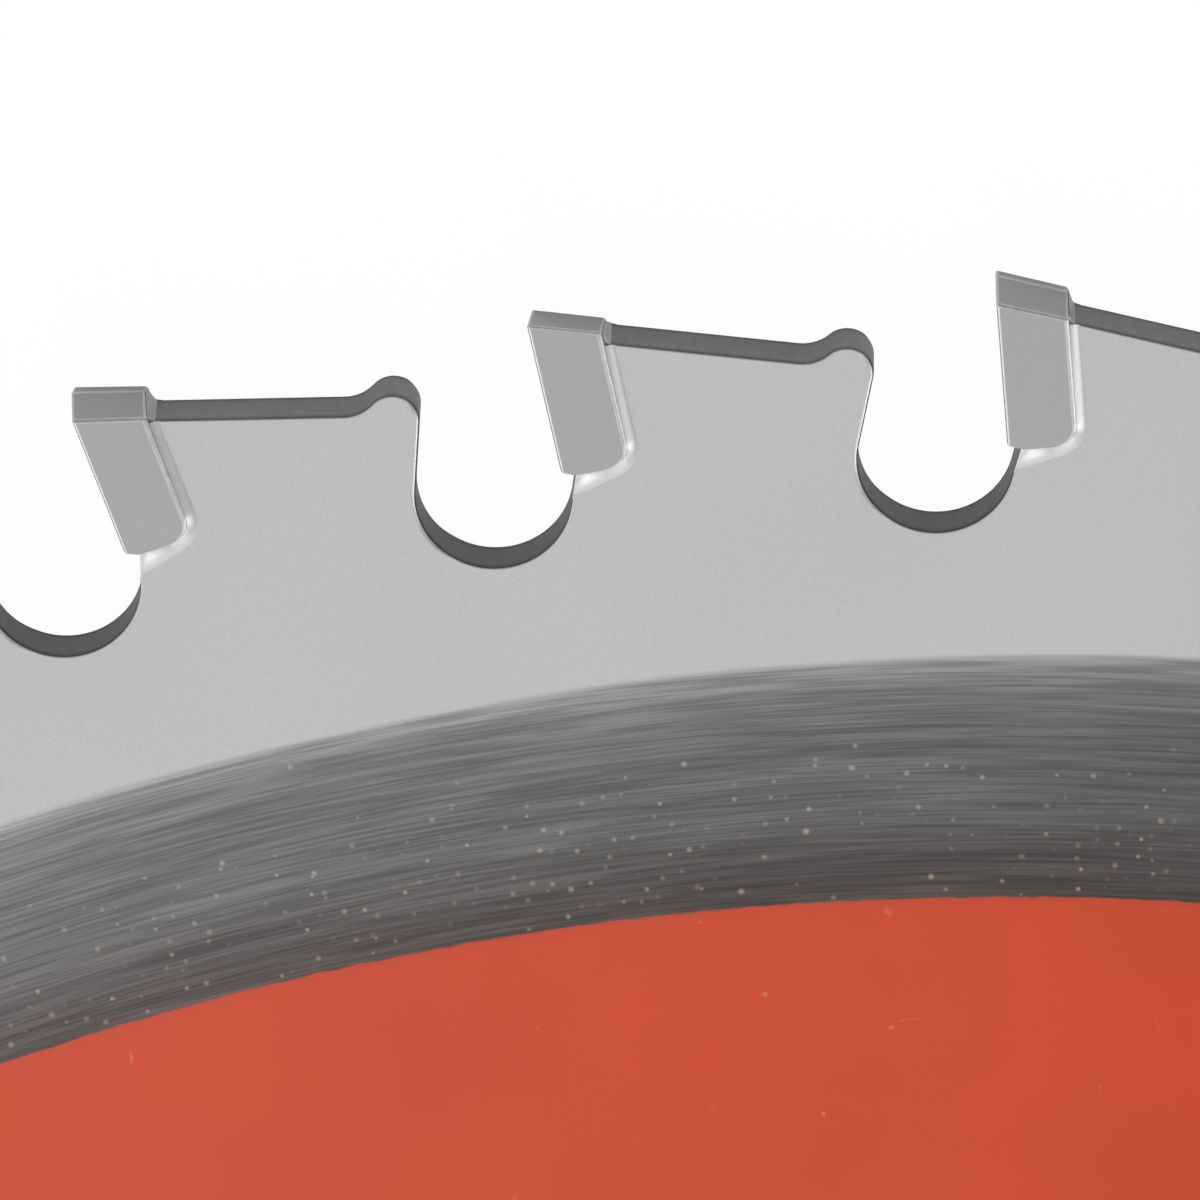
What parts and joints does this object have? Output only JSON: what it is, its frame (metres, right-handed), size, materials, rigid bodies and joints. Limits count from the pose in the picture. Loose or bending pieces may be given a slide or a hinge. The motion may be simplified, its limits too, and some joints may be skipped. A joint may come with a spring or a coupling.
{
  "type": "carbide-tipped circular saw blade",
  "caption": "Flat steel circular saw blade with a round arbor bore, round gullets, chip limiters and brazed carbide tips; red painted centre, dark ground band and satin rim.",
  "frame": {"origin": "centre of the arbor bore, in the plate's mid-plane", "axes": "+Z along the spin axis and out of the painted face; +Y through the cutting edge of the first tip"},
  "size_m": [0.21, 0.21, 0.0024],
  "materials": {
    "blade_steel": "blasted rim, circular-ground band, red paint inside it on the upper face",
    "tungsten_carbide": "fine ground",
    "silver_braze": "smooth, as flowed"
  },
  "bodies": {
    "root": {"blade_plate": "blade_steel", "carbide_tip_01": "tungsten_carbide", "carbide_tip_02": "tungsten_carbide", "carbide_tip_03": "tungsten_carbide", "carbide_tip_04": "tungsten_carbide", "carbide_tip_05": "tungsten_carbide", "carbide_tip_06": "tungsten_carbide", "carbide_tip_07": "tungsten_carbide", "carbide_tip_08": "tungsten_carbide", "carbide_tip_09": "tungsten_carbide", "carbide_tip_10": "tungsten_carbide", "carbide_tip_11": "tungsten_carbide", "carbide_tip_12": "tungsten_carbide", "carbide_tip_13": "tungsten_carbide", "carbide_tip_14": "tungsten_carbide", "carbide_tip_15": "tungsten_carbide", "carbide_tip_16": "tungsten_carbide", "carbide_tip_17": "tungsten_carbide", "carbide_tip_18": "tungsten_carbide", "carbide_tip_19": "tungsten_carbide", "carbide_tip_20": "tungsten_carbide", "carbide_tip_21": "tungsten_carbide", "carbide_tip_22": "tungsten_carbide", "carbide_tip_23": "tungsten_carbide", "carbide_tip_24": "tungsten_carbide", "carbide_tip_25": "tungsten_carbide", "carbide_tip_26": "tungsten_carbide", "carbide_tip_27": "tungsten_carbide", "carbide_tip_28": "tungsten_carbide", "carbide_tip_29": "tungsten_carbide", "carbide_tip_30": "tungsten_carbide", "carbide_tip_31": "tungsten_carbide", "carbide_tip_32": "tungsten_carbide", "carbide_tip_33": "tungsten_carbide", "carbide_tip_34": "tungsten_carbide", "carbide_tip_35": "tungsten_carbide", "carbide_tip_36": "tungsten_carbide", "carbide_tip_37": "tungsten_carbide", "carbide_tip_38": "tungsten_carbide", "carbide_tip_39": "tungsten_carbide", "carbide_tip_40": "tungsten_carbide", "carbide_tip_41": "tungsten_carbide", "carbide_tip_42": "tungsten_carbide", "carbide_tip_43": "tungsten_carbide", "carbide_tip_44": "tungsten_carbide", "carbide_tip_45": "tungsten_carbide", "carbide_tip_46": "tungsten_carbide", "carbide_tip_47": "tungsten_carbide", "carbide_tip_48": "tungsten_carbide", "braze_seams": "silver_braze"}
  },
  "joints": []
}
